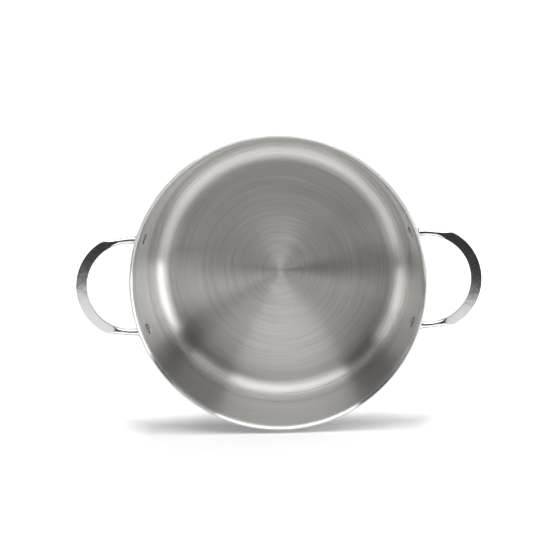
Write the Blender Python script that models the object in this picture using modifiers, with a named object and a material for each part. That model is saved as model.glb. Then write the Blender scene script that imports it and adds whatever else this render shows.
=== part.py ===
"""Stew pan with two riveted loop handles, in metres with +Z up.

The pan stands on its base. The origin is the middle of the base's underside,
and the handles point along +X and -X.
"""

import math

import bmesh
import bpy
from mathutils import Matrix

# Pan body
INSIDE_DEPTH = 0.1304
WALL_INSIDE_RADIUS = 0.140
BASE_FILLET_RADIUS = 0.025
LIP_LEAD_RADIUS = 0.036
LIP_LEAD_ANGLE = math.radians(12)
LIP_BEND_RADIUS = 0.0088
LIP_ANGLE = math.radians(52)
INNER_PLY_THICKNESS = 0.0005
CORE_PLY_THICKNESS = 0.0012
OUTER_PLY_THICKNESS = 0.0005

# Clearance between pieces that lie against each other
FIT_GAP = 0.0003

# Rivets, one below each end of a handle
RIVET_DROP = 0.014
RIVET_HEAD_RADIUS = 0.0054
RIVET_HEAD_HEIGHT = 0.0024
RIVET_HEAD_EDGE = 0.0006
RIVET_SHANK_RADIUS = 0.0029
RIVET_TAIL_RADIUS = 0.0042
RIVET_TAIL_LENGTH = 0.0014

# Handles
FOOT_SPACING = 0.0905
FOOT_WIDTH = 0.017
FOOT_THICKNESS = 0.0040
FOOT_EDGE_RADIUS = 0.0010
BAR_SPACING = 0.0916
BAR_WIDTH = 0.0067
BAR_HEIGHT = 0.0086
BAR_DROP = 0.0044
BAR_TILT = math.radians(3)
BAR_FLARE_LENGTH = 0.0085
BAR_FLARE = 0.5
GRIP_REACH = 0.0569
GRIP_WIDTH = 0.0107
SHOULDER_SETBACK = 0.028
SHOULDER_INSET = 0.0030
SHOULDER_TURN = math.radians(66)
FACET_SHARE = 0.96
SHOULDER_FACET_SHARE = 0.88
FACET_LEAD = 0.011
FACET_TAPER = 0.7
FACET_STEP = 0.0001
SECTION_ROUNDING = 0.85

# Fineness of the round shapes
TURN_STEPS = 64
RIVET_STEPS = 20
FILLET_STEPS = 6
LIP_LEAD_STEPS = 2
LIP_BEND_STEPS = 3
DOME_STEPS = 3
GRIP_STEPS = 8
SHOULDER_STEPS = 6
LEG_STEPS = 5
SECTION_POINTS = 14
MERGE_DISTANCE = 0.00001
SHARP_ANGLE = math.radians(32)

# Worked out from the sizes above
CORE_START = INNER_PLY_THICKNESS + FIT_GAP
CORE_END = CORE_START + CORE_PLY_THICKNESS
OUTER_START = CORE_END + FIT_GAP
WALL_THICKNESS = OUTER_START + OUTER_PLY_THICKNESS
WALL_OUTSIDE_RADIUS = WALL_INSIDE_RADIUS + WALL_THICKNESS
PAN_HEIGHT = INSIDE_DEPTH + WALL_THICKNESS
LIP_LEAD_HEIGHT = (LIP_LEAD_RADIUS - LIP_BEND_RADIUS) * math.sin(LIP_LEAD_ANGLE)
LIP_START_HEIGHT = PAN_HEIGHT - LIP_LEAD_HEIGHT - LIP_BEND_RADIUS * math.sin(LIP_ANGLE)
BAR_LEVEL = LIP_START_HEIGHT - BAR_DROP
RIVET_LEVEL = BAR_LEVEL - RIVET_DROP
FACET_CHORD = WALL_INSIDE_RADIUS * (1 - math.cos(math.pi / TURN_STEPS))
HEAD_SAG = RIVET_HEAD_RADIUS**2 / (2 * WALL_INSIDE_RADIUS)
HEAD_SEAT_RADIUS = WALL_INSIDE_RADIUS - FACET_CHORD - HEAD_SAG - FIT_GAP / 2
FOOT_ANGLE = math.asin(FOOT_SPACING / 2 / WALL_INSIDE_RADIUS)
FOOT_FACE_RADIUS = WALL_OUTSIDE_RADIUS + FIT_GAP + FOOT_THICKNESS
FOOT_FACE_REACH = FOOT_FACE_RADIUS * math.cos(FOOT_ANGLE) - WALL_OUTSIDE_RADIUS
LOOP_RADIUS = BAR_SPACING / 2 - BAR_WIDTH / 2
LOOP_CENTRE = GRIP_REACH - GRIP_WIDTH - LOOP_RADIUS


def clear_scene():
    """Empty the scene of its objects."""
    for item in list(bpy.data.objects):
        bpy.data.objects.remove(item, do_unlink=True)


def new_collection(name):
    """Make a collection inside the scene."""
    collection = bpy.data.collections.new(name)
    bpy.context.scene.collection.children.link(collection)
    return collection


def steel(name, colour, roughness):
    """Make a bare metal material."""
    material = bpy.data.materials.new(name)
    material.use_nodes = True
    shader = material.node_tree.nodes["Principled BSDF"]
    shader.inputs["Base Color"].default_value = (*colour, 1)
    shader.inputs["Metallic"].default_value = 1
    shader.inputs["Roughness"].default_value = roughness
    return material


def add_object(name, mesh, collection, parent=None):
    """Place a mesh, or an empty where there is no mesh, in a collection."""
    item = bpy.data.objects.new(name, mesh)
    collection.objects.link(item)
    item.parent = parent
    return item


def hide_tool(item):
    """Show a shape that only cuts or joins others as a wire cage."""
    item.display_type = "WIRE"
    item.hide_render = True
    return item


def smooth(mesh):
    """Shade round faces smooth and keep hard edges hard."""
    mesh.shade_smooth()
    mesh.set_sharp_from_angle(angle=SHARP_ANGLE)


def turned(item, steps):
    """Turn an object's profile into a solid around its own Z axis."""
    screw = item.modifiers.new("turn", "SCREW")
    screw.steps = steps
    screw.render_steps = steps
    screw.use_merge_vertices = True
    screw.merge_threshold = MERGE_DISTANCE
    screw.use_smooth_shade = True


def profile_mesh(name, points):
    """Make the mesh of an open profile in the XZ plane."""
    mesh = bpy.data.meshes.new(name)
    edges = [(i, i + 1) for i in range(len(points) - 1)]
    mesh.from_pydata([(x, 0, z) for x, z in points], edges, [])
    return mesh


def arc(centre, radius, start, end, steps):
    """Points along an arc in the XZ plane, with its two ends."""
    angles = [start + (end - start) * i / steps for i in range(steps + 1)]
    return [(centre[0] + radius * math.cos(a), centre[1] + radius * math.sin(a)) for a in angles]


def cut(item, tool, operation="DIFFERENCE"):
    """Cut a tool out of an object, or join it on."""
    boolean = item.modifiers.new(tool.name, "BOOLEAN")
    boolean.operation = operation
    boolean.solver = "EXACT"
    boolean.object = tool


def shell_line(offset):
    """The pan's inside surface from axis to rim, moved outward by an offset.

    The lip leaves the wall in a gentle lead and ends in a tighter bend.
    """
    fillet_centre = (WALL_INSIDE_RADIUS - BASE_FILLET_RADIUS, WALL_THICKNESS + BASE_FILLET_RADIUS)
    lead_centre = (WALL_INSIDE_RADIUS + LIP_LEAD_RADIUS, LIP_START_HEIGHT)
    bend_shift = LIP_LEAD_RADIUS - LIP_BEND_RADIUS
    bend_centre = (
        lead_centre[0] - bend_shift * math.cos(LIP_LEAD_ANGLE),
        lead_centre[1] + bend_shift * math.sin(LIP_LEAD_ANGLE),
    )
    fillet = arc(fillet_centre, BASE_FILLET_RADIUS + offset, -math.pi / 2, 0, FILLET_STEPS)
    turn = math.pi - LIP_LEAD_ANGLE
    lead = arc(lead_centre, LIP_LEAD_RADIUS - offset, math.pi, turn, LIP_LEAD_STEPS)
    bend = arc(bend_centre, LIP_BEND_RADIUS - offset, turn, math.pi - LIP_ANGLE, LIP_BEND_STEPS)
    return [(0, WALL_THICKNESS - offset)] + fillet + lead + bend[1:]


def make_ply(name, start, end, material, collection):
    """One layer of the laminate, between two offsets from the inside surface."""
    points = shell_line(start) + shell_line(end)[::-1]
    ply = add_object(name, profile_mesh(name, points), collection)
    turned(ply, TURN_STEPS)
    ply.data.materials.append(material)
    return ply


def make_wall_tool(collection):
    """The pan's outside with its clearance, solid, to seat the handle feet on."""
    line = shell_line(WALL_THICKNESS + FIT_GAP)[::-1]
    points = [(0, line[0][1])] + line
    tool = add_object("wall_tool", profile_mesh("wall_tool", points), collection)
    turned(tool, TURN_STEPS)
    return hide_tool(tool)


def rivet_profile():
    """Domed head, shank and flared tail, with the shank's axis along Z and the head at -Z."""
    face = FOOT_FACE_RADIUS - HEAD_SEAT_RADIUS
    dome_height = RIVET_HEAD_HEIGHT - RIVET_HEAD_EDGE
    dome_radius = (RIVET_HEAD_RADIUS**2 + dome_height**2) / (2 * dome_height)
    dome_angle = math.asin(RIVET_HEAD_RADIUS / dome_radius)
    centre = (0, dome_radius - RIVET_HEAD_HEIGHT)
    dome = arc(centre, dome_radius, -math.pi / 2 + dome_angle, -math.pi / 2, DOME_STEPS)
    return [
        (0, face),
        (RIVET_TAIL_RADIUS, face),
        (RIVET_SHANK_RADIUS, face - RIVET_TAIL_LENGTH),
        (RIVET_SHANK_RADIUS, 0),
        (RIVET_HEAD_RADIUS, 0),
    ] + dome


def rivet_hole_profile():
    """The hole for a rivet's shank and tail, wider than them by the clearance."""
    face = FOOT_FACE_RADIUS - HEAD_SEAT_RADIUS
    slope = (RIVET_TAIL_RADIUS - RIVET_SHANK_RADIUS) / RIVET_TAIL_LENGTH
    over = FOOT_THICKNESS / 2
    return [
        (0, face + over),
        (RIVET_TAIL_RADIUS + FIT_GAP + slope * over, face + over),
        (RIVET_SHANK_RADIUS + FIT_GAP, face - RIVET_TAIL_LENGTH),
        (RIVET_SHANK_RADIUS + FIT_GAP, -RIVET_HEAD_HEIGHT),
        (0, -RIVET_HEAD_HEIGHT),
    ]


def place_on_foot_axis(item, end, distance):
    """Point an object's Z outward through one foot, at a distance from the pan's axis."""
    angle = end * FOOT_ANGLE
    item.location = (distance * math.cos(angle), distance * math.sin(angle), RIVET_LEVEL)
    item.rotation_euler = (0, math.pi / 2, angle)
    return item


def make_foot_mesh():
    """A flat pad with round ends, lying in its own XY plane with its height along -X."""
    radius = FOOT_WIDTH / 2
    rise = RIVET_DROP + BAR_HEIGHT / 2 - radius
    lower = arc((0, 0), radius, -math.pi / 2, math.pi / 2, FILLET_STEPS)
    upper = arc((-rise, 0), radius, math.pi / 2, 3 * math.pi / 2, FILLET_STEPS)
    curve = bpy.data.curves.new("foot_outline", "CURVE")
    curve.dimensions = "2D"
    curve.fill_mode = "BOTH"
    curve.extrude = FOOT_THICKNESS
    spline = curve.splines.new("POLY")
    outline = lower + upper
    spline.points.add(len(outline) - 1)
    for point, (x, y) in zip(spline.points, outline):
        point.co = (x, y, 0, 1)
    spline.use_cyclic_u = True
    guide = bpy.data.objects.new("foot_outline", curve)
    bpy.context.scene.collection.objects.link(guide)
    bpy.context.view_layer.update()
    evaluated = guide.evaluated_get(bpy.context.evaluated_depsgraph_get())
    mesh = bpy.data.meshes.new_from_object(evaluated)
    bpy.data.objects.remove(guide)
    work = bmesh.new()
    work.from_mesh(mesh)
    bmesh.ops.remove_doubles(work, verts=work.verts, dist=MERGE_DISTANCE)
    bmesh.ops.recalc_face_normals(work, faces=work.faces)
    work.to_mesh(mesh)
    work.free()
    return mesh


def mix(a, b, share):
    """The point at a share of the way from one point to another."""
    return tuple(p + (q - p) * share for p, q in zip(a, b))


def drawn_top(flat):
    """How high to draw a section, so that the facet cuts it at a share of its width."""
    edge = math.acos(flat ** (1 / SECTION_ROUNDING))
    return (BAR_HEIGHT / 2 + FACET_STEP) / math.sin(edge) ** SECTION_ROUNDING


def bar_stations():
    """Half of the handle bar, from the middle of the grip to inside the foot.

    Each station has its inner and outer point in plan, the height of its top over
    the bar's middle, and how much its section swells.
    """
    half = BAR_SPACING / 2
    corner = (GRIP_REACH - SHOULDER_SETBACK, half + BAR_WIDTH / 2 - SHOULDER_INSET)
    outer_radius = (SHOULDER_SETBACK**2 + corner[1] ** 2) / (2 * SHOULDER_SETBACK)
    corner_turn = math.asin(corner[1] / outer_radius)
    leg_start = (LOOP_CENTRE, half + BAR_WIDTH / 2)
    leg_top = BAR_HEIGHT / 2

    def inner_point(turn):
        return (LOOP_CENTRE + LOOP_RADIUS * math.cos(turn), LOOP_RADIUS * math.sin(turn))

    stations = []
    for i in range(GRIP_STEPS + 1):
        share = i / GRIP_STEPS
        turn = share * corner_turn
        outer = (GRIP_REACH - outer_radius * (1 - math.cos(turn)), outer_radius * math.sin(turn))
        flat = FACET_SHARE + (SHOULDER_FACET_SHARE - FACET_SHARE) * share**3
        stations.append((inner_point(share * SHOULDER_TURN), outer, drawn_top(flat), 1))
    for i in range(1, SHOULDER_STEPS + 1):
        share = i / SHOULDER_STEPS
        outer = mix(corner, leg_start, share)
        inner = inner_point(SHOULDER_TURN + (math.pi / 2 - SHOULDER_TURN) * share)
        lead = max(0, 1 - (corner[0] - outer[0]) / FACET_LEAD)
        top = drawn_top(SHOULDER_FACET_SHARE * lead**FACET_TAPER) if lead > 0 else leg_top
        stations.append((inner, outer, top, 1))
    leg = LOOP_CENTRE - FOOT_FACE_REACH
    stops = [LOOP_CENTRE - leg * i / LEG_STEPS for i in range(1, LEG_STEPS + 1)]
    sunk_end = FOOT_FACE_REACH - 3 * FOOT_THICKNESS
    for x in stops + [sunk_end]:
        near = min(1, max(0, 1 - (x - FOOT_FACE_REACH) / BAR_FLARE_LENGTH))
        swell = 1 + BAR_FLARE * near**2
        reach = BAR_WIDTH / 2 * swell
        stations.append(((x, half - reach), (x, half + reach), leg_top * swell, swell))
    return stations


def bar_section(inner, outer, top, swell):
    """A rounded section between an inner and an outer point in plan."""
    middle = mix(inner, outer, 0.5)
    bottom = BAR_HEIGHT / 2 * swell
    ring = []
    for i in range(SECTION_POINTS):
        angle = 2 * math.pi * i / SECTION_POINTS
        side = math.copysign(abs(math.cos(angle)) ** SECTION_ROUNDING, math.cos(angle))
        lift = math.copysign(abs(math.sin(angle)) ** SECTION_ROUNDING, math.sin(angle))
        x = middle[0] + (outer[0] - middle[0]) * side
        y = middle[1] + (outer[1] - middle[1]) * side
        ring.append((x, y, lift * (top if lift > 0 else bottom)))
    return ring


def make_bar_mesh():
    """The whole bar of a handle, drawn level, from inside one foot to inside the other."""
    half = [bar_section(*station) for station in bar_stations()]
    mirrored = [[(x, -y, z) for x, y, z in ring] for ring in half[:0:-1]]
    work = bmesh.new()
    rings = [[work.verts.new(point) for point in ring] for ring in mirrored + half]
    for near, far in zip(rings, rings[1:]):
        for i in range(SECTION_POINTS):
            j = (i + 1) % SECTION_POINTS
            work.faces.new((near[i], near[j], far[j], far[i]))
    work.faces.new(rings[0])
    work.faces.new(rings[-1])
    bmesh.ops.recalc_face_normals(work, faces=work.faces)
    mesh = bpy.data.meshes.new("bar")
    work.to_mesh(mesh)
    work.free()
    smooth(mesh)
    return mesh


def make_facet_mesh():
    """The block above the grip's flat top, from the end of the legs outward."""
    bottom = BAR_HEIGHT / 2 + FACET_STEP
    height = 2 * BAR_HEIGHT
    length = 2 * GRIP_REACH
    width = 2 * FOOT_SPACING
    work = bmesh.new()
    place = Matrix.Translation((LOOP_CENTRE + length / 2, 0, bottom + height / 2))
    bmesh.ops.create_cube(work, size=1, matrix=place @ Matrix.Diagonal((length, width, height, 1)))
    mesh = bpy.data.meshes.new("facet_tool")
    work.to_mesh(mesh)
    work.free()
    return mesh


def make_handle(side, frame, wall_tool, meshes, parts, tools):
    """One loop handle with its rivets: a bar joined to two feet, seated on the wall and drilled."""
    bar_frame = add_object(side + "_bar_frame", None, tools, frame)
    bar_frame.location = (WALL_OUTSIDE_RADIUS, 0, BAR_LEVEL)
    bar_frame.rotation_euler = (0, -BAR_TILT, 0)
    handle = add_object("handle_" + side, meshes["bar"], parts, bar_frame)
    facet = hide_tool(add_object(side + "_facet_tool", meshes["facet"], tools, bar_frame))
    cut(handle, facet)
    ends = {"back": 1, "front": -1} if side == "right" else {"back": -1, "front": 1}
    for label, end in ends.items():
        foot = add_object(f"{side}_{label}_foot", meshes["foot"], tools, frame)
        place_on_foot_axis(hide_tool(foot), end, FOOT_FACE_RADIUS - FOOT_THICKNESS)
        bevel = foot.modifiers.new("rounded_edge", "BEVEL")
        bevel.width = FOOT_EDGE_RADIUS
        bevel.segments = 2
        bevel.angle_limit = math.radians(40)
        cut(handle, foot, "UNION")
    cut(handle, wall_tool)
    for label, end in ends.items():
        hole = add_object(f"{side}_{label}_hole_tool", meshes["hole"], tools, frame)
        turned(place_on_foot_axis(hide_tool(hole), end, HEAD_SEAT_RADIUS), RIVET_STEPS)
        cut(handle, hole)
        rivet = add_object(f"rivet_{side}_{label}", meshes["rivet"], parts, frame)
        turned(place_on_foot_axis(rivet, end, HEAD_SEAT_RADIUS), RIVET_STEPS)


def main():
    clear_scene()
    parts = new_collection("stew_pan")
    tools = new_collection("tools")
    brushed = steel("brushed_stainless", (0.62, 0.61, 0.59), 0.30)
    aluminium = steel("aluminium", (0.80, 0.81, 0.82), 0.35)
    satin = steel("satin_stainless", (0.60, 0.60, 0.60), 0.20)
    polished = steel("polished_stainless", (0.66, 0.66, 0.66), 0.06)

    plies = [
        make_ply("inner_ply", 0, INNER_PLY_THICKNESS, brushed, parts),
        make_ply("core_ply", CORE_START, CORE_END, aluminium, parts),
        make_ply("outer_ply", OUTER_START, WALL_THICKNESS, satin, parts),
    ]
    wall_tool = make_wall_tool(tools)
    meshes = {
        "bar": make_bar_mesh(),
        "facet": make_facet_mesh(),
        "foot": make_foot_mesh(),
        "rivet": profile_mesh("rivet", rivet_profile()),
        "hole": profile_mesh("rivet_hole", rivet_hole_profile()),
    }
    meshes["bar"].materials.append(polished)
    meshes["rivet"].materials.append(polished)
    for side, turn in (("right", 0), ("left", math.pi)):
        frame = add_object(side + "_frame", None, tools)
        frame.rotation_euler = (0, 0, turn)
        make_handle(side, frame, wall_tool, meshes, parts, tools)
    for tool in [item for item in tools.objects if item.name.endswith("hole_tool")]:
        for ply in plies:
            cut(ply, tool)
    bpy.context.view_layer.update()


main()
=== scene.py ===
"""Looks of the stew pan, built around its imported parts, in metres with +Z up."""

import math

import bmesh
import bpy
from mathutils import Matrix, Vector


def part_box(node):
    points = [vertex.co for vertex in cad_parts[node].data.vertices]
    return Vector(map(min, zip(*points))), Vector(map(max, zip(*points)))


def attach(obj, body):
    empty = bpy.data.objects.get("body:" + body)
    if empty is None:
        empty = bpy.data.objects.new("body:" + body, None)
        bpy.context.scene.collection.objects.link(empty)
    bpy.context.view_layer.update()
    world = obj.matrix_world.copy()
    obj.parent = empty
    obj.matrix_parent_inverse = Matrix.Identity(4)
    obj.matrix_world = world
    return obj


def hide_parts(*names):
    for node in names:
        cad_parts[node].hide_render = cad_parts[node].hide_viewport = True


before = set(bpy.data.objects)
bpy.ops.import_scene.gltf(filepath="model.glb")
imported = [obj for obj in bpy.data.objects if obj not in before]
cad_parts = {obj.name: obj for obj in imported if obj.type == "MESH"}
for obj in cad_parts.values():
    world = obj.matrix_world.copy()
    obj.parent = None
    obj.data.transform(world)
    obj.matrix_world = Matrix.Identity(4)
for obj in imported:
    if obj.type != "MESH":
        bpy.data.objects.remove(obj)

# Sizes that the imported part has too
WALL_INSIDE_RADIUS = 0.140
BASE_FILLET_RADIUS = 0.025
LIP_LEAD_RADIUS = 0.036
LIP_LEAD_ANGLE = math.radians(12)
LIP_BEND_RADIUS = 0.0088
LIP_ANGLE = math.radians(52)
WALL_THICKNESS = 0.0028
PLY_THICKNESS = 0.0005
FIT_GAP = 0.0003
RIVET_DROP = 0.014
RIVET_HEAD_RADIUS = 0.0054
RIVET_HEAD_HEIGHT = 0.0024
RIVET_HEAD_EDGE = 0.0006
RIVET_SHANK_RADIUS = 0.0029
RIVET_TAIL_RADIUS = 0.0042
RIVET_TAIL_LENGTH = 0.0014
RIVET_SEAT_RADIUS = 0.1396
FOOT_SPACING = 0.0905
FOOT_WIDTH = 0.017
FOOT_THICKNESS = 0.0040
FOOT_EDGE_RADIUS = 0.0010
BAR_SPACING = 0.0916
BAR_WIDTH = 0.0067
BAR_HEIGHT = 0.0086
BAR_DROP = 0.0044
BAR_TILT = math.radians(3)
GRIP_REACH = 0.0569
GRIP_WIDTH = 0.0107
SHOULDER_SETBACK = 0.028
SHOULDER_INSET = 0.0030
SHOULDER_TURN = math.radians(66)
FACET_SHARE = 0.96
SHOULDER_FACET_SHARE = 0.88
FACET_LEAD = 0.011
FACET_TAPER = 0.7
FACET_STEP = 0.0001
SECTION_ROUNDING = 0.85

# Finer shapes, seen only here
PLY_SEAM = 0.00003
RIM_CORNER = 0.00035
FACET_EDGE = 0.00022
FLARE_LENGTH = 0.0065
FLARE_REACH = 0.0030
FOOT_CROWN = 0.00015

# Surfaces
GROOVE_SPACING = 0.0007
GROOVE_LENGTH = 0.120
RING_SPACING = 0.0045
RING_LENGTH = 0.300
CORE_GROOVE_SPACING = 0.0003
CORE_GROOVE_LENGTH = 0.010
WALL_SMOOTHING = 0.80
SMOOTHING_START = 0.004
SMOOTHING_END = 0.020
# Painted shade: a dark ring at the edge of each rivet head, for the shadowed gap where the head meets the
# wall
EDGE_SHADE_START = 0.0047
EDGE_SHADE_END = 0.0054
EDGE_SHADE_LEVEL = 0.35

# Studio
ROOM_LEVEL = 0.05
HORIZON_FADE = 0.06
MATTE_COLOUR = (0.80, 0.80, 0.80, 1)
FLOOR_RADIUS = 4.0
FLOOR_STEPS = 96
FLOOR_GLOW = 0.46
SHADOW_START = 0.125
SHADOW_END = 0.200
TABLE_LEVEL = -0.1485
TABLE_CARD_LEVEL = -0.148
TABLE_GLOW = 0.12
TABLE_FADE = 0.10
TABLE_HEIGHT = 0.60
TABLE_SHADOW_START = 0.10
TABLE_SHADOW_END = 0.24

# Fineness of the round shapes
TURN_STEPS = 288
RIVET_STEPS = 64
FILLET_STEPS = 28
LIP_STEPS = 20
WALL_ROWS = 18
CORNER_STEPS = 4
DOME_STEPS = 12
GRIP_STEPS = 56
SHOULDER_STEPS = 36
LEG_STEPS = 4
FLARE_STEPS = 12
FACE_STEPS = 4
SEAT_STEPS = 5
MERGE_DISTANCE = 0.000001
SHARP_ANGLE = math.radians(38)

# Worked out from the sizes above and from the imported part
PAN_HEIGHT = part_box("inner_ply")[1].z
WALL_OUTSIDE_RADIUS = WALL_INSIDE_RADIUS + WALL_THICKNESS
LIP_LEAD_HEIGHT = (LIP_LEAD_RADIUS - LIP_BEND_RADIUS) * math.sin(LIP_LEAD_ANGLE)
LIP_START_HEIGHT = PAN_HEIGHT - LIP_LEAD_HEIGHT - LIP_BEND_RADIUS * math.sin(LIP_ANGLE)
BAR_LEVEL = LIP_START_HEIGHT - BAR_DROP
RIVET_LEVEL = BAR_LEVEL - RIVET_DROP
FOOT_ANGLE = math.asin(FOOT_SPACING / 2 / WALL_INSIDE_RADIUS)
FOOT_SEAT_RADIUS = WALL_OUTSIDE_RADIUS + FIT_GAP
FOOT_FACE_RADIUS = FOOT_SEAT_RADIUS + FOOT_THICKNESS
LOOP_RADIUS = BAR_SPACING / 2 - BAR_WIDTH / 2
LOOP_CENTRE = GRIP_REACH - GRIP_WIDTH - LOOP_RADIUS

# Camera of the photograph
CAMERA_PLACE = (0.02845, 0.14787, 1.32372)
CAMERA_TURN = (-6.9007, 1.0724, -1.6246)
CAMERA_LENS = 79.237
CAMERA_SENSOR = 36


def new_object(name, mesh):
    """Put a mesh into the scene."""
    item = bpy.data.objects.new(name, mesh)
    bpy.context.scene.collection.objects.link(item)
    return item


def arc(centre, radius, start, end, steps):
    """Points along an arc in the XZ plane, with its two ends."""
    angles = [start + (end - start) * i / steps for i in range(steps + 1)]
    return [(centre[0] + radius * math.cos(a), centre[1] + radius * math.sin(a)) for a in angles]


def line(start, end, steps):
    """Points along a straight line, without its two ends."""
    return [mix(start, end, i / steps) for i in range(1, steps)]


def mix(a, b, share):
    """The point at a share of the way from one point to another."""
    return tuple(p + (q - p) * share for p, q in zip(a, b))


def rounded_corner(before, corner, after, reach):
    """Points of a soft corner between two straight runs."""
    start = Vector(corner) + (Vector(before) - Vector(corner)).normalized() * reach
    end = Vector(corner) + (Vector(after) - Vector(corner)).normalized() * reach
    points = []
    for i in range(CORNER_STEPS + 1):
        share = i / CORNER_STEPS
        points.append(tuple(start.lerp(corner, share).lerp(Vector(corner).lerp(end, share), share)))
    return points


def turned_object(name, points, steps):
    """A solid turned from its profile, from the top of its outer side down."""
    mesh = bpy.data.meshes.new(name)
    edges = [(i, i + 1) for i in range(len(points) - 1)]
    mesh.from_pydata([(x, 0, z) for x, z in points], edges, [])
    item = new_object(name, mesh)
    screw = item.modifiers.new("turn", "SCREW")
    screw.steps = steps
    screw.render_steps = steps
    screw.use_merge_vertices = True
    screw.merge_threshold = MERGE_DISTANCE
    return item


def cut(item, tool):
    """Cut a tool's shape out of an object."""
    boolean = item.modifiers.new(tool.name, "BOOLEAN")
    boolean.operation = "DIFFERENCE"
    boolean.solver = "EXACT"
    boolean.object = tool


def settle(item):
    """Turn an object's modifiers into plain mesh and shade it smooth between its hard edges."""
    bpy.context.view_layer.update()
    evaluated = item.evaluated_get(bpy.context.evaluated_depsgraph_get())
    mesh = bpy.data.meshes.new_from_object(evaluated)
    item.modifiers.clear()
    item.data = mesh
    mesh.name = item.name
    mesh.shade_smooth()
    mesh.set_sharp_from_angle(angle=SHARP_ANGLE)


def shell_line(offset):
    """The pan's inside surface from axis to rim, moved outward by an offset."""
    fillet_centre = (WALL_INSIDE_RADIUS - BASE_FILLET_RADIUS, WALL_THICKNESS + BASE_FILLET_RADIUS)
    lead_centre = (WALL_INSIDE_RADIUS + LIP_LEAD_RADIUS, LIP_START_HEIGHT)
    bend_shift = LIP_LEAD_RADIUS - LIP_BEND_RADIUS
    bend_centre = (
        lead_centre[0] - bend_shift * math.cos(LIP_LEAD_ANGLE),
        lead_centre[1] + bend_shift * math.sin(LIP_LEAD_ANGLE),
    )
    fillet = arc(fillet_centre, BASE_FILLET_RADIUS + offset, -math.pi / 2, 0, FILLET_STEPS)
    turn = math.pi - LIP_LEAD_ANGLE
    lead = arc(lead_centre, LIP_LEAD_RADIUS - offset, math.pi, turn, LIP_STEPS)
    bend = arc(bend_centre, LIP_BEND_RADIUS - offset, turn, math.pi - LIP_ANGLE, LIP_STEPS)
    lip = lead + bend[1:]
    base = line((0, WALL_THICKNESS - offset), fillet[0], WALL_ROWS)
    wall = line(fillet[-1], lip[0], WALL_ROWS)
    return [(0, WALL_THICKNESS - offset)] + base + fillet + wall + lip


def make_ply(name, start, end, round_start, round_end):
    """One layer of the pan's wall between two offsets, its rim corners rounded where they show."""
    near = shell_line(start)
    far = shell_line(end)[::-1]
    near_corner = [near[-1]]
    far_corner = [far[0]]
    if round_start:
        near_corner = rounded_corner(near[-2], near[-1], far[0], RIM_CORNER)
    if round_end:
        far_corner = rounded_corner(near[-1], far[0], far[1], RIM_CORNER)
    return turned_object(name, near[:-1] + near_corner + far_corner + far[1:], TURN_STEPS)


def rivet_profile():
    """Domed head, shank and flared tail, with the shank along Z and the head at -Z."""
    face = FOOT_FACE_RADIUS - RIVET_SEAT_RADIUS
    dome_height = RIVET_HEAD_HEIGHT - RIVET_HEAD_EDGE
    dome_radius = (RIVET_HEAD_RADIUS**2 + dome_height**2) / (2 * dome_height)
    dome_angle = math.asin(RIVET_HEAD_RADIUS / dome_radius)
    centre = (0, dome_radius - RIVET_HEAD_HEIGHT)
    dome = arc(centre, dome_radius, -math.pi / 2 + dome_angle, -math.pi / 2, DOME_STEPS)
    seat = (RIVET_HEAD_RADIUS, 0)
    edge = rounded_corner(seat, dome[0], dome[1], RIVET_HEAD_EDGE / 2)
    return [
        (0, face),
        (RIVET_TAIL_RADIUS, face),
        (RIVET_SHANK_RADIUS, face - RIVET_TAIL_LENGTH),
        (RIVET_SHANK_RADIUS, 0),
        seat,
    ] + edge + dome[1:]


def rivet_hole_profile():
    """The hole for a rivet's shank and tail, wider than them by the clearance."""
    face = FOOT_FACE_RADIUS - RIVET_SEAT_RADIUS
    slope = (RIVET_TAIL_RADIUS - RIVET_SHANK_RADIUS) / RIVET_TAIL_LENGTH
    over = FOOT_THICKNESS / 2
    gap = FIT_GAP / 2
    return [
        (0, face + over),
        (RIVET_TAIL_RADIUS + gap + slope * over, face + over),
        (RIVET_SHANK_RADIUS + gap, face - RIVET_TAIL_LENGTH),
        (RIVET_SHANK_RADIUS + gap, -RIVET_HEAD_HEIGHT),
        (0, -RIVET_HEAD_HEIGHT),
    ]


def foot_place(side_turn, end, distance):
    """The frame of a foot: Z outward through it, at a distance from the pan's axis."""
    turn = Matrix.Rotation(side_turn + end * FOOT_ANGLE, 4, "Z")
    return turn @ Matrix.Translation((distance, 0, RIVET_LEVEL)) @ Matrix.Rotation(math.pi / 2, 4, "Y")


def spread(start, end, steps):
    """Evenly spaced values, with the first and without the last."""
    return [start + (end - start) * i / steps for i in range(steps)]


def section_angles(facet_angle):
    """Angles round a bar section, close together at the two edges of its flat top."""
    middle = min(facet_angle, math.radians(72))
    low = middle - math.radians(9)
    high = middle + min(math.radians(9), (math.pi / 2 - middle) / 2)
    return (
        spread(low, high, 10)
        + spread(high, math.pi - high, 36)
        + spread(math.pi - high, math.pi - low, 10)
        + spread(math.pi - low, 2 * math.pi + low, 52)
    )


def signed_power(value, power):
    """A power that keeps the value's sign."""
    return math.copysign(abs(value) ** power, value)


def bar_ring(inner, outer, flat):
    """A section of the bar between an inner and an outer point, in the bar's own frame.

    The flat facet cuts off the section's top over a share of its width, none where it is 0.
    """
    middle = mix(inner, outer, 0.5)
    bottom = BAR_HEIGHT / 2
    facet = bottom + FACET_STEP
    facet_angle = math.acos(max(0, flat) ** (1 / SECTION_ROUNDING))
    top = facet / math.sin(facet_angle) ** SECTION_ROUNDING
    ring = []
    for angle in section_angles(facet_angle):
        side = signed_power(math.cos(angle), SECTION_ROUNDING)
        lift = signed_power(math.sin(angle), SECTION_ROUNDING)
        x = middle[0] + (outer[0] - middle[0]) * side
        y = middle[1] + (outer[1] - middle[1]) * side
        z = lift * bottom
        if lift > 0 and flat > 0:
            over = (facet - lift * top) / FACET_EDGE
            z = facet - FACET_EDGE * (math.log(1 + math.exp(over)) if over < 20 else over)
        ring.append(Vector((x, y, z)))
    return ring


def soften(points, passes):
    """Average each station with its neighbours, to round off kinks along the bar."""
    for _ in range(passes):
        inside = [mix(mix(a, c, 0.5), b, 0.5) for a, b, c in zip(points, points[1:], points[2:])]
        points = [points[0]] + inside + [points[-1]]
    return points


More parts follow.
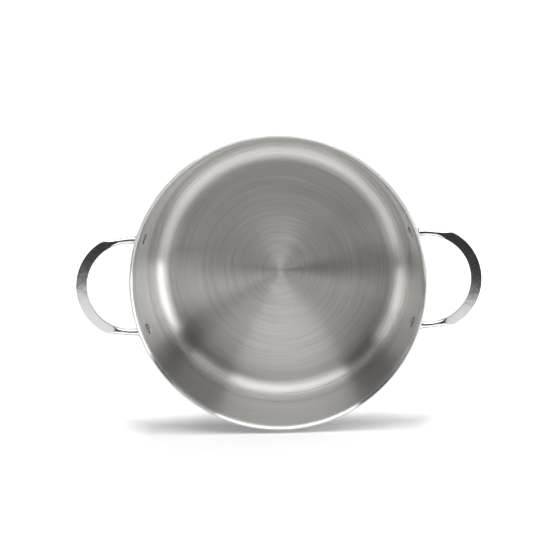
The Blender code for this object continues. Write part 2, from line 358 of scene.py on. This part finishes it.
def bar_rings():
    """Sections of the bar from the end of one leg round the grip to the end of the other."""
    half = BAR_SPACING / 2
    corner = (GRIP_REACH - SHOULDER_SETBACK, half + BAR_WIDTH / 2 - SHOULDER_INSET)
    outer_radius = (SHOULDER_SETBACK**2 + corner[1] ** 2) / (2 * SHOULDER_SETBACK)
    corner_turn = math.asin(corner[1] / outer_radius)
    leg_start = (LOOP_CENTRE, half + BAR_WIDTH / 2)

    def inner_point(turn):
        return (LOOP_CENTRE + LOOP_RADIUS * math.cos(turn), LOOP_RADIUS * math.sin(turn))

    stations = []
    for i in range(GRIP_STEPS + 1):
        share = i / GRIP_STEPS
        turn = share * corner_turn
        outer = (GRIP_REACH - outer_radius * (1 - math.cos(turn)), outer_radius * math.sin(turn))
        flat = FACET_SHARE + (SHOULDER_FACET_SHARE - FACET_SHARE) * share**3
        stations.append(inner_point(share * SHOULDER_TURN) + outer + (flat,))
    for i in range(1, SHOULDER_STEPS + 1):
        share = i / SHOULDER_STEPS
        outer = mix(corner, leg_start, share)
        inner = inner_point(SHOULDER_TURN + (math.pi / 2 - SHOULDER_TURN) * share)
        lead = max(0, 1 - (corner[0] - outer[0]) / FACET_LEAD)
        stations.append(inner + outer + (SHOULDER_FACET_SHARE * lead**FACET_TAPER,))
    mirrored = [(ix, -iy, ox, -oy, flat) for ix, iy, ox, oy, flat in stations[:0:-1]]
    stations = soften(mirrored + stations, 4)
    return [bar_ring((ix, iy), (ox, oy), flat) for ix, iy, ox, oy, flat in stations]


def foot_outline_reach(centre, direction):
    """How far the foot's round-ended outline lies from a point inside it, in one direction."""
    radius = FOOT_WIDTH / 2
    rise = RIVET_DROP + BAR_HEIGHT / 2 - radius
    near, far = 0.0, 0.05
    for _ in range(40):
        reach = (near + far) / 2
        point = centre + direction * reach
        nearest = Vector((0, min(rise, max(0, point.y))))
        if (point - nearest).length < radius:
            near = reach
        else:
            far = reach
    return near


def foot_rings(last_ring, bar_matrix, end):
    """Rings that carry a leg's last section into its foot and down to the foot's seat.

    Each ring point slides along the bar to the foot's face, out over the face in a flare,
    round the foot's edge and down its side to the pan's wall.
    """
    turn = end * FOOT_ANGLE
    outward = Vector((math.cos(turn), math.sin(turn), 0))
    across = Vector((-math.sin(turn), math.cos(turn), 0))
    up = Vector((0, 0, 1))
    face_origin = outward * FOOT_FACE_RADIUS + up * RIVET_LEVEL
    along = (bar_matrix.to_3x3() @ Vector((1, 0, 0))).normalized()

    def on_face(point):
        point = point + along * ((face_origin - point).dot(outward) / along.dot(outward))
        return Vector(((point - face_origin).dot(across), (point - face_origin).dot(up)))

    world_ring = [bar_matrix @ point for point in last_ring]
    middle = bar_matrix @ Vector((LOOP_CENTRE, end * BAR_SPACING / 2, 0))
    centre = on_face(middle)
    spokes = []
    for point in world_ring:
        flat = on_face(point)
        direction = (flat - centre).normalized()
        near = (flat - centre).length
        far = max(near, foot_outline_reach(centre, direction))
        spokes.append((point, flat, direction, near, far))

    def place(spoke, reach, lift):
        flat = centre + spoke[2] * reach
        base = face_origin + across * flat.x + up * flat.y
        if lift >= 0:
            return base + along * lift
        seat = math.sqrt(FOOT_SEAT_RADIUS**2 - flat.x**2) - FOOT_FACE_RADIUS
        return base + outward * max(lift, seat)

    rings = []
    for i in range(1, LEG_STEPS):
        ring = []
        for spoke in spokes:
            flare_start = place(spoke, spoke[3], FLARE_LENGTH)
            ring.append(spoke[0].lerp(flare_start, i / LEG_STEPS))
        rings.append(ring)
    for i in range(FLARE_STEPS + 1):
        swing = math.pi / 2 * i / FLARE_STEPS
        lift = FOOT_CROWN + (FLARE_LENGTH - FOOT_CROWN) * (1 - math.sin(swing))
        ring = []
        for spoke in spokes:
            room = spoke[4] - spoke[3]
            reach = min(FLARE_REACH, max(0, room - FOOT_EDGE_RADIUS))
            ring.append(place(spoke, spoke[3] + reach * (1 - math.cos(swing)), lift))
        rings.append(ring)
    for i in range(1, FACE_STEPS + 1):
        share = i / FACE_STEPS
        ring = []
        for spoke in spokes:
            room = spoke[4] - spoke[3]
            edge = min(FOOT_EDGE_RADIUS, room)
            start = spoke[3] + min(FLARE_REACH, max(0, room - FOOT_EDGE_RADIUS))
            ring.append(place(spoke, start + (spoke[4] - edge - start) * share, FOOT_CROWN * (1 - share)))
        rings.append(ring)
    for i in range(1, CORNER_STEPS + 1):
        swing = math.pi / 2 * i / CORNER_STEPS
        ring = []
        for spoke in spokes:
            edge = min(FOOT_EDGE_RADIUS, spoke[4] - spoke[3])
            reach = spoke[4] - edge * (1 - math.sin(swing))
            ring.append(place(spoke, reach, -FOOT_EDGE_RADIUS * (1 - math.cos(swing)) - MERGE_DISTANCE))
        rings.append(ring)
    for i in range(1, SEAT_STEPS + 1):
        share = i / SEAT_STEPS
        ring = []
        for spoke in spokes:
            start = place(spoke, spoke[4], -FOOT_EDGE_RADIUS)
            rest = place(spoke, spoke[4], -2 * FOOT_THICKNESS)
            ring.append(start.lerp(rest, share))
        rings.append(ring)
    for i in range(1, SEAT_STEPS):
        share = 1 - i / SEAT_STEPS
        rings.append([place(spoke, spoke[4] * share, -2 * FOOT_THICKNESS) for spoke in spokes])
    tip = place(spokes[0], 0, -2 * FOOT_THICKNESS)
    return rings, tip


def make_handle_mesh():
    """The right handle in the pan's frame: bar, flares and feet as one lofted skin."""
    bar_matrix = Matrix.Translation((WALL_OUTSIDE_RADIUS, 0, BAR_LEVEL)) @ Matrix.Rotation(-BAR_TILT, 4, "Y")
    bar = bar_rings()
    front, front_tip = foot_rings(bar[0], bar_matrix, -1)
    back, back_tip = foot_rings(bar[-1], bar_matrix, 1)
    rings = front[::-1] + [[bar_matrix @ point for point in ring] for ring in bar] + back
    work = bmesh.new()
    corners = [[work.verts.new(point) for point in ring] for ring in rings]
    count = len(corners[0])
    for near, far in zip(corners, corners[1:]):
        for i in range(count):
            j = (i + 1) % count
            work.faces.new((near[i], near[j], far[j], far[i]))
    for ring, tip in ((corners[0], front_tip), (corners[-1], back_tip)):
        point = work.verts.new(tip)
        for i in range(count):
            work.faces.new((ring[i], ring[(i + 1) % count], point))
    bmesh.ops.recalc_face_normals(work, faces=work.faces)
    mesh = bpy.data.meshes.new("handle")
    work.to_mesh(mesh)
    work.free()
    return mesh


class Nodes:
    """Small helper that adds and links shader nodes by name."""

    def __init__(self, tree):
        self.tree = tree

    def add(self, kind, inputs=None, **settings):
        """A node with its settings; inputs take a value or another node's output."""
        node = self.tree.nodes.new(kind)
        for key, value in settings.items():
            setattr(node, key, value)
        for key, value in (inputs or {}).items():
            if isinstance(value, bpy.types.NodeSocket):
                self.tree.links.new(value, node.inputs[key])
            else:
                node.inputs[key].default_value = value
        return node

    def math(self, operation, first, second=0.0):
        """The result of a maths node."""
        return self.add("ShaderNodeMath", {0: first, 1: second}, operation=operation).outputs[0]

    def vector(self, operation, first, second=None):
        """The result of a vector maths node, whose second input is a number for SCALE."""
        inputs = {0: first}
        if second is not None:
            inputs["Scale" if operation == "SCALE" else 1] = second
        return self.add("ShaderNodeVectorMath", inputs, operation=operation).outputs["Vector"]

    def length(self, vector):
        """The length of a vector."""
        return self.add("ShaderNodeVectorMath", {0: vector}, operation="LENGTH").outputs["Value"]

    def swing(self, noise, size):
        """Noise turned into a value that swings about 0 by a size."""
        return self.math("MULTIPLY", self.math("SUBTRACT", noise, 0.5), 2 * size)

    def ramp(self, factor, low, high):
        """A value from low to high as the factor goes from 0 to 1."""
        return self.fade(factor, 0.0, 1.0, low, high)

    def fade(self, value, start, end, low, high, kind="LINEAR"):
        """A value that goes from low to high while another goes from start to end."""
        inputs = {"Value": value, "From Min": start, "From Max": end, "To Min": low, "To Max": high}
        return self.add("ShaderNodeMapRange", inputs, interpolation_type=kind).outputs["Result"]

    def blend(self, share, first, second):
        """A mix of two shaders."""
        return self.add("ShaderNodeMixShader", {"Fac": share, 1: first, 2: second}).outputs[0]


def new_material(name):
    """A material with its helper and its Principled shader."""
    material = bpy.data.materials.new(name)
    material.use_nodes = True
    return material, Nodes(material.node_tree), material.node_tree.nodes["Principled BSDF"]


def axis_coordinates(nodes):
    """Distance from the object's own Z axis, direction from it, and height along it."""
    place = nodes.add("ShaderNodeTexCoord").outputs["Object"]
    parts = nodes.add("ShaderNodeSeparateXYZ", {"Vector": place}).outputs
    flat = nodes.add("ShaderNodeCombineXYZ", {"X": parts["X"], "Y": parts["Y"]}).outputs[0]
    return nodes.length(flat), nodes.vector("NORMALIZE", flat), parts["Z"]


def groove_noise(nodes, across, direction, spacing, length):
    """Noise stretched along circles round the axis: its value, about 0 to 1."""
    turn = nodes.vector("SCALE", direction, WALL_INSIDE_RADIUS / length)
    parts = nodes.add("ShaderNodeSeparateXYZ", {"Vector": turn})
    step = nodes.math("DIVIDE", across, spacing)
    vector = nodes.add(
        "ShaderNodeCombineXYZ",
        {"X": step, "Y": parts.outputs["X"], "Z": parts.outputs["Y"]},
    )
    noise = nodes.add(
        "ShaderNodeTexNoise",
        {"Vector": vector.outputs[0], "Scale": 1.0, "Detail": 2.0, "Roughness": 0.6},
    )
    return noise.outputs["Fac"]


def brushed_steel(name, colour, roughness, anisotropy, tilt, contrast):
    """Steel with fine grooves round the pan's axis, whose flanks tilt the surface by an angle.

    The contrast is how far the grooves lighten and darken the colour. The wall is smoother than the base.
    """
    material, nodes, shader = new_material(name)
    radius, direction, height = axis_coordinates(nodes)
    across = nodes.math("ADD", radius, height)
    fine = groove_noise(nodes, across, direction, GROOVE_SPACING, GROOVE_LENGTH)
    rings = groove_noise(nodes, across, direction, RING_SPACING, RING_LENGTH)
    tilts = nodes.swing(fine, tilt)
    normal = nodes.add("ShaderNodeNewGeometry").outputs["Normal"]
    round_way = nodes.vector("CROSS_PRODUCT", (0, 0, 1), direction)
    cross_way = nodes.vector("CROSS_PRODUCT", normal, round_way)
    lean = nodes.vector("SCALE", cross_way, tilts)
    grooved = nodes.vector("NORMALIZE", nodes.vector("ADD", normal, lean))
    shade = nodes.math("ADD", nodes.swing(fine, 0.8), nodes.math("ADD", nodes.swing(rings, 0.3), 0.5))
    dark = tuple((1 - contrast) * c for c in colour) + (1,)
    light = tuple(min(1, (1 + contrast) * c) for c in colour) + (1,)
    tint = nodes.add("ShaderNodeMix", {"Factor": shade, 6: dark, 7: light}, data_type="RGBA")
    tangent = nodes.add("ShaderNodeTangent", direction_type="RADIAL", axis="Z")
    links = material.node_tree.links
    links.new(tint.outputs[2], shader.inputs["Base Color"])
    finer = nodes.fade(height, SMOOTHING_START, SMOOTHING_END, 1.0, WALL_SMOOTHING)
    spread_size = nodes.ramp(shade, roughness * 0.94, roughness * 1.06)
    links.new(nodes.math("MULTIPLY", spread_size, finer), shader.inputs["Roughness"])
    links.new(grooved, shader.inputs["Normal"])
    links.new(tangent.outputs["Tangent"], shader.inputs["Tangent"])
    shader.inputs["Metallic"].default_value = 1
    shader.inputs["Anisotropic"].default_value = anisotropy
    shader.inputs["Anisotropic Rotation"].default_value = 0.25
    return material


def polished_steel(name, colour, roughness, outlined=False):
    """Mirror polished cast steel with the faint waves and haze that hand polishing leaves.

    An outlined piece gets painted shade near the edge of its round head: a dark ring for the shadowed gap
    where the head meets the wall.
    """
    material, nodes, shader = new_material(name)
    place = nodes.add("ShaderNodeTexCoord").outputs["Object"]
    wave = nodes.add("ShaderNodeTexNoise", {"Vector": place, "Scale": 180.0, "Detail": 1.0}).outputs["Fac"]
    haze = nodes.add("ShaderNodeTexNoise", {"Vector": place, "Scale": 60.0, "Detail": 3.0}).outputs["Fac"]
    bump = nodes.add("ShaderNodeBump", {"Height": wave, "Strength": 0.10, "Distance": 0.0002})
    dark = tuple(0.96 * c for c in colour) + (1,)
    light = tuple(min(1, 1.03 * c) for c in colour) + (1,)
    tint = nodes.add("ShaderNodeMix", {"Factor": haze, 6: dark, 7: light}, data_type="RGBA")
    shade = tint.outputs[2]
    if outlined:
        # Painted shade: the colour darkens towards the edge of the rivet head
        radius = axis_coordinates(nodes)[0]
        edge_shade = nodes.fade(radius, EDGE_SHADE_START, EDGE_SHADE_END, 1.0, EDGE_SHADE_LEVEL)
        shade = nodes.vector("SCALE", shade, edge_shade)
    links = material.node_tree.links
    links.new(shade, shader.inputs["Base Color"])
    links.new(nodes.ramp(haze, roughness * 0.6, roughness * 1.4), shader.inputs["Roughness"])
    links.new(bump.outputs["Normal"], shader.inputs["Normal"])
    shader.inputs["Metallic"].default_value = 1
    return material


def plain_aluminium(name):
    """Aluminium of the core, seen as a line on the cut rim."""
    material, nodes, shader = new_material(name)
    radius, direction, height = axis_coordinates(nodes)
    across = nodes.math("ADD", radius, height)
    grain = groove_noise(nodes, across, direction, CORE_GROOVE_SPACING, CORE_GROOVE_LENGTH)
    tint = nodes.add(
        "ShaderNodeMix",
        {"Factor": grain, 6: (0.70, 0.71, 0.73, 1), 7: (0.84, 0.85, 0.86, 1)},
        data_type="RGBA",
    )
    links = material.node_tree.links
    links.new(tint.outputs[2], shader.inputs["Base Color"])
    links.new(nodes.ramp(grain, 0.28, 0.42), shader.inputs["Roughness"])
    shader.inputs["Metallic"].default_value = 1
    return material


def seen_directly(nodes):
    """1 for what the camera sees, also in metal or through glass, and 0 for scattered light."""
    path = nodes.add("ShaderNodeLightPath").outputs
    mirrored = nodes.math("MAXIMUM", path["Is Glossy Ray"], path["Is Transmission Ray"])
    return nodes.math("MAXIMUM", path["Is Camera Ray"], mirrored)


def pale_matte(name):
    """A plain pale matte material, for what lies round the pan."""
    material, nodes, shader = new_material(name)
    shader.inputs["Base Color"].default_value = MATTE_COLOUR
    shader.inputs["Roughness"].default_value = 0.9
    shader.inputs["Specular IOR Level"].default_value = 0.0
    return material, nodes, shader.outputs[0]


def glowing(nodes, shader, strength):
    """A shader with a white glow added."""
    glow = nodes.add("ShaderNodeEmission", {"Strength": strength}).outputs[0]
    return nodes.add("ShaderNodeAddShader", {0: shader, 1: glow}).outputs[0]


def show_from_front(material, nodes, shader):
    """Give the material a shader that shows on the front of its faces, clear from behind."""
    behind = nodes.add("ShaderNodeNewGeometry").outputs["Backfacing"]
    clear = nodes.add("ShaderNodeBsdfTransparent").outputs[0]
    output = material.node_tree.nodes["Material Output"]
    material.node_tree.links.new(nodes.blend(behind, shader, clear), output.inputs["Surface"])


def make_floor():
    """A wide pale floor, white to the camera but for the pan's shadow, and clear from below.

    It is open under the flat base, which hides the opening from above.
    """
    opening = WALL_INSIDE_RADIUS - BASE_FILLET_RADIUS + RIM_CORNER
    work = bmesh.new()
    rings = []
    for radius in (opening, FLOOR_RADIUS):
        turns = spread(0, 2 * math.pi, FLOOR_STEPS)
        rings.append([work.verts.new((radius * math.cos(a), radius * math.sin(a), 0)) for a in turns])
    for i in range(FLOOR_STEPS):
        j = (i + 1) % FLOOR_STEPS
        work.faces.new((rings[0][i], rings[1][i], rings[1][j], rings[0][j]))
    mesh = bpy.data.meshes.new("floor")
    work.to_mesh(mesh)
    work.free()
    floor = new_object("floor", mesh)
    material, nodes, matte = pale_matte("pale_floor")
    place = nodes.add("ShaderNodeNewGeometry").outputs["Position"]
    evening = nodes.fade(nodes.length(place), SHADOW_START, SHADOW_END, 0.0, 1.0, "SMOOTHSTEP")
    camera = nodes.add("ShaderNodeLightPath").outputs["Is Camera Ray"]
    white = nodes.math("MULTIPLY", evening, camera)
    both = glowing(nodes, matte, nodes.ramp(white, FLOOR_GLOW, 1.0))
    show_from_front(material, nodes, nodes.blend(seen_directly(nodes), matte, both))
    mesh.materials.append(material)


def make_world():
    """White behind the object and near the horizon, and a dim room higher up for what it reflects."""
    world = bpy.data.worlds.new("studio")
    world.use_nodes = True
    bpy.context.scene.world = world
    nodes = Nodes(world.node_tree)
    camera = nodes.add("ShaderNodeLightPath").outputs["Is Camera Ray"]
    white = nodes.add("ShaderNodeBackground", {"Color": (1, 1, 1, 1), "Strength": 1.0})
    way = nodes.add("ShaderNodeTexCoord").outputs["Generated"]
    rise = nodes.add("ShaderNodeSeparateXYZ", {"Vector": way}).outputs["Z"]
    dimming = nodes.fade(rise, 0.0, HORIZON_FADE, 1.0, ROOM_LEVEL)
    room = nodes.add("ShaderNodeBackground", {"Color": (1, 1, 1, 1), "Strength": dimming})
    pick = nodes.blend(camera, room.outputs[0], white.outputs[0])
    world.node_tree.links.new(pick, world.node_tree.nodes["World Output"].inputs["Surface"])


def soft_box(name, place, target, width, height, brightness):
    """A rectangular lamp that faces a point; brightness 1 looks white in a mirror."""
    lamp = bpy.data.lights.new(name, "AREA")
    lamp.shape = "RECTANGLE"
    lamp.size = width
    lamp.size_y = height
    lamp.energy = brightness * math.pi * width * height
    item = bpy.data.objects.new(name, lamp)
    bpy.context.scene.collection.objects.link(item)
    item.location = place
    item.rotation_euler = (Vector(target) - Vector(place)).to_track_quat("-Z", "Y").to_euler()
    item.visible_camera = False
    return item


def make_table():
    """The white table that the photographed pan stands on with its rim, for the shadow there.

    Only the camera sees it, and only from the pan's side.
    """
    work = bmesh.new()
    turn = Matrix.Rotation(-math.pi / 2, 4, "X")
    place = Matrix.Translation((0, TABLE_LEVEL, TABLE_HEIGHT / 2)) @ turn
    bmesh.ops.create_grid(work, x_segments=1, y_segments=1, size=TABLE_HEIGHT / 2, matrix=place)
    mesh = bpy.data.meshes.new("table")
    work.to_mesh(mesh)
    work.free()
    table = new_object("table", mesh)
    material, nodes, matte = pale_matte("white_table")
    place = nodes.add("ShaderNodeNewGeometry").outputs["Position"]
    parts = nodes.add("ShaderNodeSeparateXYZ", {"Vector": place}).outputs
    aside = nodes.math("ABSOLUTE", parts["X"])
    beside = nodes.fade(aside, TABLE_SHADOW_START, TABLE_SHADOW_END, 0.0, 1.0, "SMOOTHSTEP")
    below = nodes.fade(parts["Z"], 0.0, TABLE_FADE, 1.0, TABLE_GLOW, "SMOOTHSTEP")
    show_from_front(material, nodes, glowing(nodes, matte, nodes.math("MAXIMUM", below, beside)))
    mesh.materials.append(material)
    table.visible_diffuse = False
    table.visible_glossy = False
    table.visible_transmission = False
    table.visible_shadow = False


def make_lights():
    """Studio lamps: cards in the table's plane, a wall of light opposite, and boxes at the sides.

    The cards are there for reflections alone.
    """
    card = soft_box("table_card", (0, TABLE_CARD_LEVEL, 0.32), (0, 1, 0.32), 2.0, 0.36, 1.7)
    card.visible_diffuse = False
    for side, x, z, height in (("right", 0.25, 0.77, 0.54), ("left", -0.27, 0.92, 0.84)):
        far = soft_box("table_far_" + side, (x, TABLE_CARD_LEVEL, z), (x, 1, z), 0.18, height, 1.1)
        far.visible_diffuse = False
    soft_box("top_low", (-0.10, 1.0, 0.22), (-0.10, 0, 0.22), 1.31, 0.16, 4.6)
    soft_box("top_middle", (-0.10, 1.0, 0.6), (-0.10, 0, 0.6), 1.31, 0.6, 3.3)
    soft_box("top_high", (-0.10, 1.0, 1.35), (-0.10, 0, 1.35), 1.31, 0.9, 1.6)
    soft_box("right_box", (1.0, -0.02, 0.72), (0, -0.02, 0.72), 0.45, 0.84, 5.2)
    soft_box("right_edge", (1.0, 0.30, 0.75), (0, 0.30, 0.75), 0.2, 0.9, 3.6)
    soft_box("right_corner", (0.71, 0.80, 0.70), (0, 0, 0.70), 0.42, 0.9, 1.1)
    soft_box("left_box", (-1.0, 0.03, 0.84), (0, 0.03, 0.84), 0.35, 0.4, 3.4)
    soft_box("left_high", (-1.0, 0.33, 1.0), (0, 0.33, 1.0), 0.45, 0.4, 2.2)


def make_camera():
    """The photograph's camera."""
    camera = bpy.data.cameras.new("camera")
    camera.lens = CAMERA_LENS
    camera.sensor_width = CAMERA_SENSOR
    item = bpy.data.objects.new("camera", camera)
    bpy.context.scene.collection.objects.link(item)
    item.location = CAMERA_PLACE
    item.rotation_euler = [math.radians(angle) for angle in CAMERA_TURN]
    bpy.context.scene.camera = item


def finish_piece(item, node, material):
    """Let a piece stand for its node, with its material."""
    item.data.materials.clear()
    item.data.materials.append(material)
    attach(item, "root")
    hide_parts(node)


def make_pan():
    """All the pan's pieces, each in place of its node."""
    inside = brushed_steel("brushed_inside", (0.60, 0.59, 0.575), 0.30, 1.0, 0.006, 0.22)
    outside = brushed_steel("satin_outside", (0.56, 0.56, 0.555), 0.27, 0.5, 0.002, 0.08)
    core = plain_aluminium("core")
    polished = polished_steel("polished_handle", (0.66, 0.66, 0.655), 0.10)
    rivets = polished_steel("polished_rivet", (0.60, 0.60, 0.595), 0.04, True)

    core_start = PLY_THICKNESS + PLY_SEAM
    core_end = WALL_THICKNESS - PLY_THICKNESS - PLY_SEAM
    inner = make_ply("inner_skin", 0, PLY_THICKNESS, True, False)
    middle = make_ply("core_layer", core_start, core_end, False, False)
    outer = make_ply("outer_skin", WALL_THICKNESS - PLY_THICKNESS, WALL_THICKNESS, False, True)
    handle_mesh = make_handle_mesh()
    tools = []
    for side, side_turn in (("right", 0), ("left", math.pi)):
        handle = new_object("loop_handle_" + side, handle_mesh.copy())
        handle.matrix_world = Matrix.Rotation(side_turn, 4, "Z")
        ends = {"back": 1, "front": -1} if side == "right" else {"back": -1, "front": 1}
        for label, end in ends.items():
            hole = turned_object(f"hole_{side}_{label}", rivet_hole_profile(), RIVET_STEPS)
            hole.matrix_world = foot_place(side_turn, end, RIVET_SEAT_RADIUS)
            tools.append(hole)
            cut(handle, hole)
            rivet = turned_object(f"rivet_head_{side}_{label}", rivet_profile(), RIVET_STEPS)
            rivet.matrix_world = foot_place(side_turn, end, RIVET_SEAT_RADIUS)
            settle(rivet)
            finish_piece(rivet, f"rivet_{side}_{label}", rivets)
        settle(handle)
        finish_piece(handle, "handle_" + side, polished)
    pieces = (
        (inner, "inner_ply", "brushed_inside", inside),
        (middle, "core_ply", "core", core),
        (outer, "outer_ply", "satin_outside", outside),
    )
    for item, node, slot, material in pieces:
        for tool in tools:
            cut(item, tool)
        settle(item)
        finish_piece(item, node, material)
    for tool in tools:
        bpy.data.objects.remove(tool)


def main():
    scene = bpy.context.scene
    scene.view_settings.view_transform = "Standard"
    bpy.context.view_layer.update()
    make_camera()
    make_world()
    make_lights()
    make_floor()
    make_table()
    make_pan()


main()
